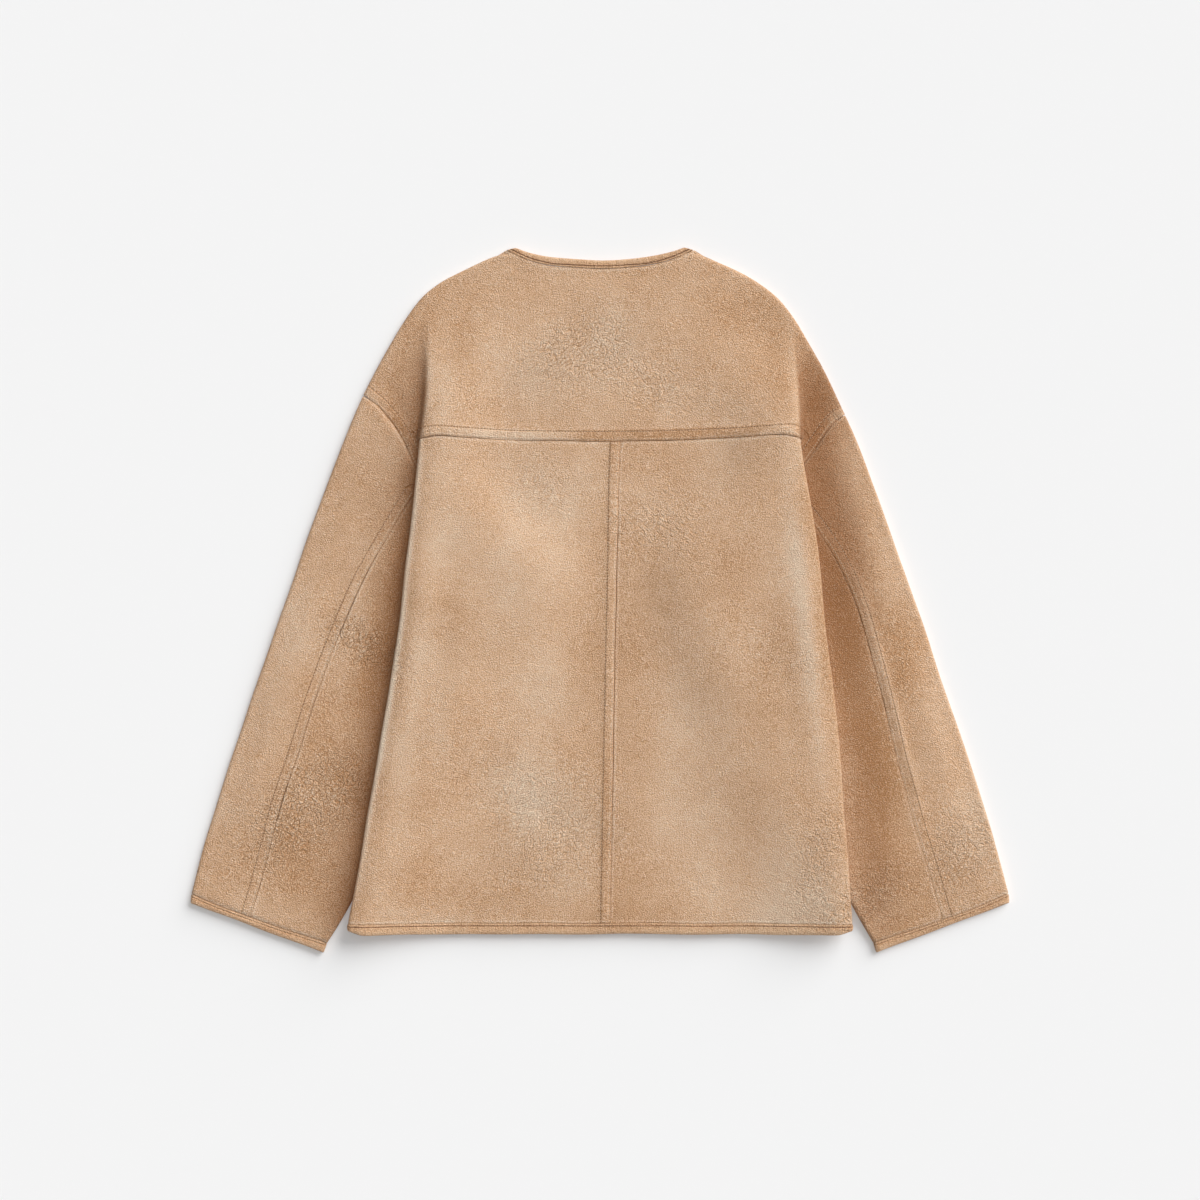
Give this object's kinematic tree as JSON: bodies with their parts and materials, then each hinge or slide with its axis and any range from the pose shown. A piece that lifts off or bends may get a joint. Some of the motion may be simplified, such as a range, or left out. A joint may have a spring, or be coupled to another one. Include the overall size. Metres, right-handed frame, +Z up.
{
  "type": "short coat laid flat",
  "caption": "Collarless drop-shouldered short coat in suede-faced double cloth, laid flat on its front with the sleeves down beside the body.",
  "frame": {"origin": "on the surface that the coat lies on, under the middle of its outline", "axes": "+Y towards the neck, +X towards the wearer's right sleeve, +Z up out of the back"},
  "size_m": [0.8212, 0.7064, 0.0231],
  "materials": {
    "suede": "brushed, mottled",
    "binding": "matt"
  },
  "bodies": {
    "root": {"yoke": "suede", "back_left": "suede", "back_right": "suede", "front_left": "suede", "front_right": "suede", "top_sleeve_left": "suede", "top_sleeve_right": "suede", "under_sleeve_left": "suede", "under_sleeve_right": "suede", "neck_binding": "binding", "front_binding_left": "binding", "front_binding_right": "binding", "hem_binding_back": "binding", "hem_binding_front_left": "binding", "hem_binding_front_right": "binding", "cuff_binding_left": "binding", "cuff_binding_right": "binding"}
  },
  "joints": []
}
